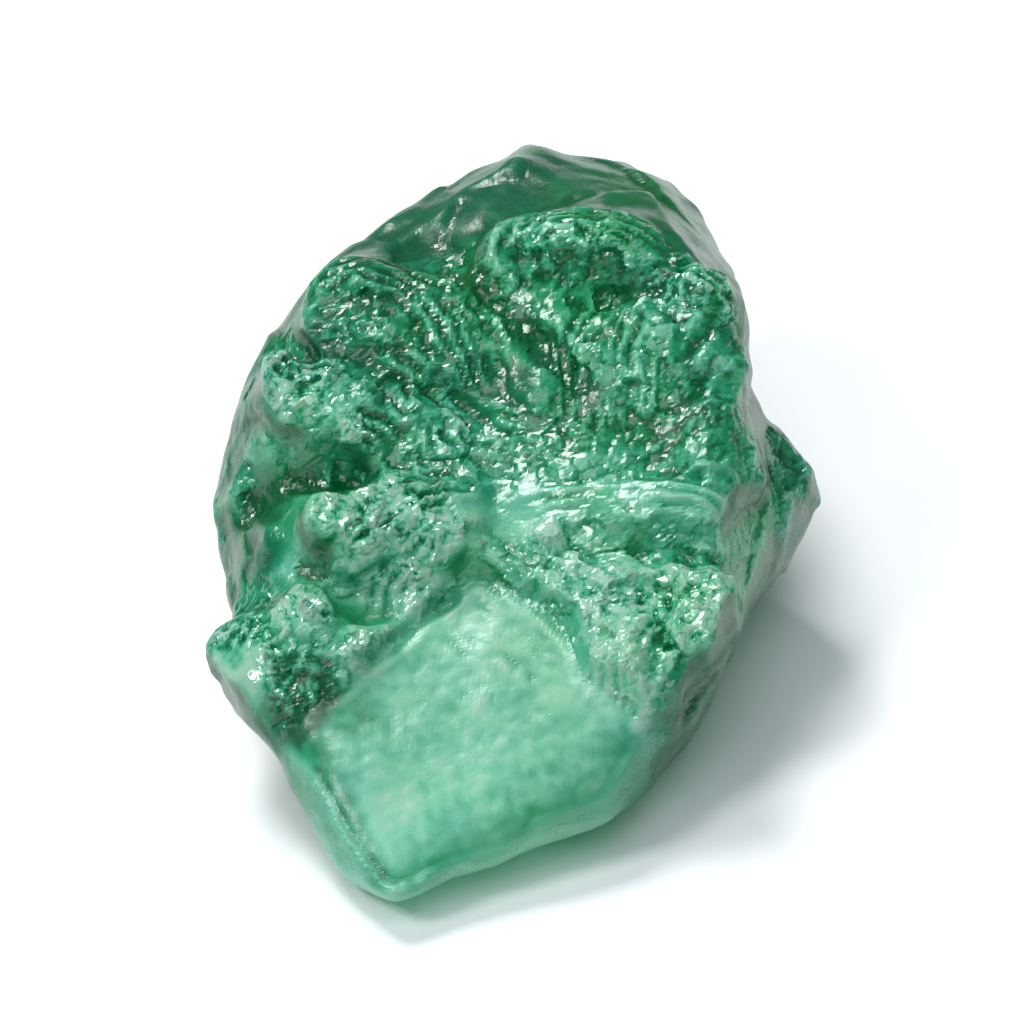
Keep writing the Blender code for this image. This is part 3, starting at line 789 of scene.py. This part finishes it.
def stone():
    """The finished piece: the fine skin with all its relief and its tones."""
    skin = fine_skin()
    low = skin.points[:, 2].min()
    lowest = (skin.points[:, 2] < low + UNDERSIDE_LAYER).astype(float)
    underside = skin.spread(lowest, UNDERSIDE_SPREAD)
    skin.put(skin.eased(skin.points, WHOLE_EASING))

    xy = skin.points[:, :2]
    thin = smooth_step(in_front_of(xy, LEDGE) / LEDGE_WIDTH)
    before_crest = smooth_step(in_front_of(xy, CREST) / CREST_WIDTH)
    soften(skin, thin, THIN_END_EASING)
    bevel_edge = near_line(xy, BEVEL_EDGE, BEVEL_EDGE_WIDTH, BEVEL_EDGE_REACH)
    soften(skin, thin * bevel_edge, BEVEL_EDGE_EASING)

    front = skin.spread(front_share(skin.normals), FRONT_SPREAD) * before_crest
    face = thin * front
    inner = skin.spread(face, FACE_SPREAD)
    soften(skin, smooth_step((inner - FACE_MIDDLE_START) / FACE_MIDDLE_RISE), FACE_EASING)

    rough = rough_crust(xy, front, thin)
    chip(skin, rough, CRUST_CHIPS)
    chip(skin, (1.0 - front) * (1.0 - thin), BACK_CHIPS)
    soften(skin, 1.0 - front, BACK_EASING)
    ridges = striate(skin, front)
    sparkle = glitter(skin, front)
    ridges += crinkle(skin, rough * at_least(sparkle, QUIET_CRINKLES))
    chip(skin, rough, SMALL_CHIPS)
    ripple(skin, 1.0 - front)
    net = cells(skin.points, face)
    frosting(skin, face, net)
    keep_resting(skin, low, underside)

    crisp = rough * at_least(sparkle, QUIET_CRISPNESS)
    tones(skin, front, face**2, thin, net, ridges, sparkle, crisp)
    obj = bpy.data.objects.new("emerald_skin", skin.mesh)
    bpy.context.scene.collection.objects.link(obj)
    skin.mesh.materials.clear()
    skin.mesh.materials.append(beryl())
    return obj


def new_material(name):
    """A material with its node tree, ready to be wired."""
    look = bpy.data.materials.new(name)
    look.use_nodes = True
    return look, look.node_tree, look.node_tree.nodes["Principled BSDF"]


def node(tree, kind, **values):
    """A shader node with some of its settings and inputs filled in."""
    made = tree.nodes.new(kind)
    for key, value in values.items():
        if key in made.inputs:
            made.inputs[key].default_value = value
        else:
            setattr(made, key, value)
    return made


def attribute(tree, name):
    """The output that reads one number kept on the skin."""
    made = node(tree, "ShaderNodeAttribute", attribute_name=name)
    return made.outputs["Fac"]


def noise_tex(tree, scale, detail, rough=0.5):
    """Noise over the stone itself, scale in lumps a metre."""
    place = node(tree, "ShaderNodeTexCoord")
    made = node(tree, "ShaderNodeTexNoise", Scale=scale, Detail=detail, Roughness=rough)
    tree.links.new(place.outputs["Object"], made.inputs["Vector"])
    return made.outputs["Fac"]


def facets(tree, scale):
    """Height in metres of small flat faces, each turned its own way, scale in faces a metre."""
    place = node(tree, "ShaderNodeTexCoord").outputs["Object"]
    net = node(tree, "ShaderNodeTexVoronoi", Scale=scale)
    tree.links.new(place, net.inputs["Vector"])
    off = node(tree, "ShaderNodeVectorMath", operation="SUBTRACT")
    tree.links.new(place, off.inputs[0])
    tree.links.new(net.outputs["Position"], off.inputs[1])
    turn = node(tree, "ShaderNodeVectorMath", operation="SUBTRACT")
    tree.links.new(net.outputs["Color"], turn.inputs[0])
    turn.inputs[1].default_value = (0.5, 0.5, 0.5)
    rise = node(tree, "ShaderNodeVectorMath", operation="DOT_PRODUCT")
    tree.links.new(off.outputs["Vector"], rise.inputs[0])
    tree.links.new(turn.outputs["Vector"], rise.inputs[1])
    return rise.outputs["Value"]


def maths(tree, operation, first, second, clamp=False):
    """One sum of two outputs or numbers."""
    made = node(tree, "ShaderNodeMath", operation=operation, use_clamp=clamp)
    for socket, value in zip(made.inputs, (first, second)):
        if isinstance(value, (int, float)):
            socket.default_value = value
        else:
            tree.links.new(value, socket)
    return made.outputs[0]


def centred_noise(tree, scale, detail, rough=0.5):
    """Noise over the stone itself, about -0.5 to 0.5."""
    return maths(tree, "SUBTRACT", noise_tex(tree, scale, detail, rough), 0.5)


def hairlines(tree, scale):
    """1 on thin wandering lines, 0 between them."""
    away = maths(tree, "ABSOLUTE", centred_noise(tree, scale, 2, 0.6), 0.0)
    widths = maths(tree, "DIVIDE", away, HAIRLINE_WIDTH)
    return maths(tree, "SUBTRACT", 1.0, widths, clamp=True)


def ramp(tree, value, stops):
    """Colours by value, from (place, colour) stops."""
    made = tree.nodes.new("ShaderNodeValToRGB")
    band = made.color_ramp
    while len(band.elements) < len(stops):
        band.elements.new(0.5)
    for element, (place, colour) in zip(band.elements, stops):
        element.position = place
        element.color = (*colour, 1.0)
    tree.links.new(value, made.inputs["Fac"])
    return made.outputs["Color"]


def beryl_colour(tree, pale, crisp, speck):
    """The beryl's colour by its paleness, with specks, dark hairlines and warmer tints."""
    mottled = maths(tree, "ADD", pale, maths(tree, "MULTIPLY", speck, SPECK_CONTRAST))
    lines = maths(tree, "MULTIPLY", hairlines(tree, HAIRLINES), crisp)
    dark = maths(tree, "MULTIPLY", lines, HAIRLINE_CONTRAST)
    colour = ramp(tree, maths(tree, "SUBTRACT", mottled, dark, clamp=True), BERYL_COLOURS)
    warmth = maths(tree, "MULTIPLY", centred_noise(tree, TINTS, 2), TINT_CONTRAST)
    tinted = node(tree, "ShaderNodeHueSaturation")
    tree.links.new(maths(tree, "SUBTRACT", 0.5, warmth), tinted.inputs["Hue"])
    tree.links.new(colour, tinted.inputs["Color"])
    return tinted.outputs["Color"]


def beryl_roughness(tree, frost, speck):
    """Glossy where the beryl is clean, matt where it is frosted."""
    grit = maths(tree, "MULTIPLY", maths(tree, "ABSOLUTE", speck, 0.0), SPECK_ROUGHNESS)
    sheen = maths(tree, "MULTIPLY", frost, FROST_ROUGHNESS)
    return maths(tree, "ADD", maths(tree, "ADD", sheen, grit), CLEAN_ROUGHNESS, clamp=True)


def beryl_bumps(tree, crisp):
    """The normal over small turned faces on the crisp crust and fine grain all over."""
    turn = maths(tree, "MULTIPLY", crisp, SMALL_FACE_TURN)
    broken = maths(tree, "MULTIPLY", facets(tree, SMALL_FACES), turn)
    grain = maths(tree, "MULTIPLY", noise_tex(tree, GRAINS, 3, 0.6), GRAIN_BUMP)
    bumps = node(tree, "ShaderNodeBump", Strength=1.0, Distance=1.0)
    tree.links.new(maths(tree, "ADD", broken, grain), bumps.inputs["Height"])
    return bumps.outputs["Normal"]


def beryl():
    """Clear green beryl, paler where it is milky and where light is painted, matt where frosted."""
    look, tree, shader = new_material("beryl")
    crisp = attribute(tree, "crisp")
    speck = centred_noise(tree, SPECKS, 3, 0.65)
    colour = beryl_colour(tree, attribute(tree, "pale"), crisp, speck)
    tree.links.new(colour, shader.inputs["Base Color"])
    roughness = beryl_roughness(tree, attribute(tree, "frost"), speck)
    tree.links.new(roughness, shader.inputs["Roughness"])
    tree.links.new(beryl_bumps(tree, crisp), shader.inputs["Normal"])
    shader.inputs["IOR"].default_value = BERYL_IOR
    shader.inputs["Transmission Weight"].default_value = BERYL_TRANSMISSION
    depth = node(tree, "ShaderNodeVolumeAbsorption", Density=ABSORPTION_DENSITY)
    depth.inputs["Color"].default_value = ABSORPTION_COLOUR
    tree.links.new(depth.outputs["Volume"], tree.nodes["Material Output"].inputs["Volume"])
    return look


def floor():
    """A plain pale floor, larger than any view of it."""
    mesh = bpy.data.meshes.new("floor")
    bm = bmesh.new()
    bmesh.ops.create_grid(bm, x_segments=1, y_segments=1, size=FLOOR_HALF_SIDE)
    bm.to_mesh(mesh)
    bm.free()
    obj = bpy.data.objects.new("floor", mesh)
    obj.location.z = -FLOOR_GAP
    bpy.context.scene.collection.objects.link(obj)
    look, tree, shader = new_material("pale floor")
    tone = ramp(tree, noise_tex(tree, FLOOR_CLOUDS, 3), FLOOR_TONES)
    tree.links.new(tone, shader.inputs["Base Color"])
    shader.inputs["Roughness"].default_value = FLOOR_ROUGHNESS
    mesh.materials.append(look)


def aimed(name, data, azimuth, elevation, distance):
    """Puts a light or a camera this many metres from the stone, looking at it.

    The angles are in degrees. Azimuth 0 is in front of the tip, and 90 is to its right.
    """
    a = math.radians(azimuth)
    e = math.radians(elevation)
    back = Vector((math.sin(a) * math.cos(e), -math.cos(a) * math.cos(e), math.sin(e)))
    obj = bpy.data.objects.new(name, data)
    obj.location = AIM + back * distance
    obj.rotation_euler = (-back).to_track_quat("-Z", "Y").to_euler()
    bpy.context.scene.collection.objects.link(obj)
    return obj


def area_light(name, azimuth, elevation, distance, size, power, colour=(1.0, 1.0, 1.0)):
    """A soft square light, its side in metres and its power in watts."""
    data = bpy.data.lights.new(name, "AREA")
    data.size = size
    data.energy = power
    data.color = colour
    aimed(name, data, azimuth, elevation, distance)


def camera(elevation, distance, frame_height):
    """A long lens that looks down on the stone from in front of its tip."""
    data = bpy.data.cameras.new("camera")
    data.sensor_width = 36.0
    data.lens = data.sensor_width * distance / frame_height
    data.clip_start = 0.01
    bpy.context.scene.camera = aimed("camera", data, 0, elevation, distance)


def world(horizon, zenith):
    """Pale light from all round, brighter from above."""
    sky = bpy.data.worlds.new("studio")
    sky.use_nodes = True
    tree = sky.node_tree
    way = tree.nodes.new("ShaderNodeTexCoord")
    parts = tree.nodes.new("ShaderNodeSeparateXYZ")
    tree.links.new(way.outputs["Generated"], parts.inputs["Vector"])
    rise = tree.nodes.new("ShaderNodeMapRange")
    rise.inputs["To Min"].default_value = horizon
    rise.inputs["To Max"].default_value = zenith
    tree.links.new(parts.outputs["Z"], rise.inputs["Value"])
    back = tree.nodes["Background"]
    back.inputs["Color"].default_value = SKY_COLOUR
    tree.links.new(rise.outputs["Result"], back.inputs["Strength"])
    bpy.context.scene.world = sky


camera(elevation=38, distance=0.7, frame_height=0.0265)
world(horizon=0.15, zenith=0.25)
area_light("key", azimuth=-142, elevation=63, distance=1.2, size=0.45, power=11.5)
area_light("front", azimuth=0, elevation=60, distance=1.2, size=0.8, power=5.2, colour=FRONT_COLOUR)
area_light("left", azimuth=-58, elevation=48, distance=1.2, size=0.3, power=6.5)
bpy.context.scene.view_settings.view_transform = "Standard"
bounces = bpy.context.scene.cycles
bounces.max_bounces = 6
bounces.transmission_bounces = 6
bounces.diffuse_bounces = 2
bounces.glossy_bounces = 3
floor()
emerald = stone()
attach(emerald, "root")
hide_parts(NODE)
